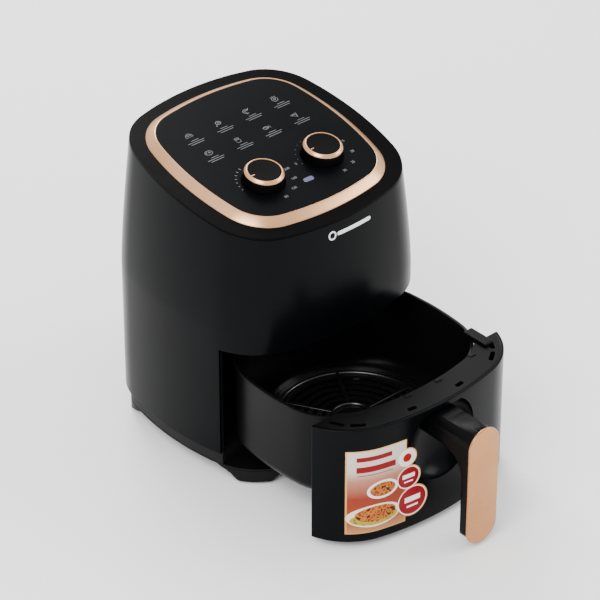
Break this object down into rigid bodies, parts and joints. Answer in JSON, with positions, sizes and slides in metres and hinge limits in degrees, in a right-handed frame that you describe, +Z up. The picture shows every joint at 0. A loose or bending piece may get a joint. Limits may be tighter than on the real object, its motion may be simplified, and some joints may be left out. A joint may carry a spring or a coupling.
{
  "type": "air fryer",
  "caption": "Basket air fryer with two dials on a sloping control top and a pull-out pan drawer with an arched handle, drawer part open.",
  "frame": {"origin": "on the table under the middle of the housing", "axes": "+Z up, -Y towards the drawer and handle, +X to the right of someone facing the front"},
  "size_m": [0.262, 0.442, 0.3255],
  "materials": {
    "housing_shell": "gloss, blue-black",
    "black_gloss": "gloss",
    "black_satin": "satin",
    "base_black": "fine texture",
    "champagne": "metallic lacquer",
    "copper_face": "metallic lacquer",
    "pan_coating": "non-stick",
    "sheet_steel": "galvanised",
    "bright_steel": "polished",
    "fan_aluminium": "satin",
    "heater_steel": "heat-darkened",
    "motor_can": "satin",
    "rubber_black": "matte",
    "silicone_black": "matte",
    "terminal_white": "satin",
    "plunger_red": "gloss",
    "lens_amber": "clear tinted",
    "label_print": "printed film",
    "brass_bell": "satin"
  },
  "bodies": {
    "housing": {"foot_pads": "rubber_black", "base": "base_black", "outer_shell": "housing_shell", "opening_frame": "black_satin", "inner_liner": "sheet_steel", "heat_reflector": "sheet_steel", "heater_coil": "heater_steel", "heater_clips": "sheet_steel", "heater_guard": "heater_steel", "motor": "motor_can", "motor_bracket": "sheet_steel", "motor_screws": "bright_steel", "top_frame": "black_gloss", "trim_ring": "champagne", "control_panel": "black_satin", "indicator_lens": "lens_amber", "thermostat_body": "terminal_white", "timer_body": "sheet_steel", "timer_bell": "brass_bell", "drawer_switch": "black_satin", "thermal_fuse": "terminal_white", "terminal_block": "terminal_white", "rear_vent_cover": "black_satin", "outlet_duct": "sheet_steel", "cord_gland": "rubber_black", "base_screws": "bright_steel"},
    "rotor": {"motor_shaft": "bright_steel", "hot_air_fan": "fan_aluminium", "cooling_fan": "fan_aluminium", "fan_nut": "bright_steel"},
    "temperature_dial": {"temperature_knob": "black_satin", "temperature_knob_ring": "champagne", "temperature_knob_cap": "black_satin", "temperature_shaft": "bright_steel"},
    "timer_dial": {"timer_knob": "black_satin", "timer_knob_ring": "champagne", "timer_knob_cap": "black_satin", "timer_shaft": "bright_steel"},
    "drawer": {"pan": "pan_coating", "pan_bracket": "sheet_steel", "bracket_rivets": "bright_steel", "drawer_front": "housing_shell", "drawer_inner_cover": "base_black", "drawer_bridge": "black_satin", "handle": "black_satin", "handle_face": "copper_face", "handle_screws": "bright_steel", "front_label": "label_print"},
    "tray": {"crisper_tray": "pan_coating", "tray_bumpers": "silicone_black"},
    "plunger": {"switch_plunger": "plunger_red"}
  },
  "joints": [
    {"name": "drawer_slide", "type": "slide", "parent": "housing", "child": "drawer", "axis": [0, -0.992, -0.1259], "range_m": [-0.135, 0.012]},
    {"name": "fan_spin", "type": "hinge", "parent": "housing", "child": "rotor", "pos_m": [0, 0.004, 0.23], "axis": [0, 0, 1], "continuous": true},
    {"name": "temperature_turn", "type": "hinge", "parent": "housing", "child": "temperature_dial", "pos_m": [-0.0377, -0.04065, 0.30418], "axis": [0, -0.1788, 0.9839], "range_deg": [-270, 0]},
    {"name": "timer_turn", "type": "hinge", "parent": "housing", "child": "timer_dial", "pos_m": [0.0377, -0.04065, 0.30418], "axis": [0, -0.1788, 0.9839], "range_deg": [-300, 0]},
    {"name": "tray_lift", "type": "slide", "parent": "drawer", "child": "tray", "axis": [0, 0, 1], "range_m": [0, 0.06]},
    {"name": "switch_press", "type": "slide", "parent": "housing", "child": "plunger", "axis": [0, 0, 1], "range_m": [0, 0.0025], "stiffness_N_per_m": 400, "springref_m": -0.001}
  ]
}
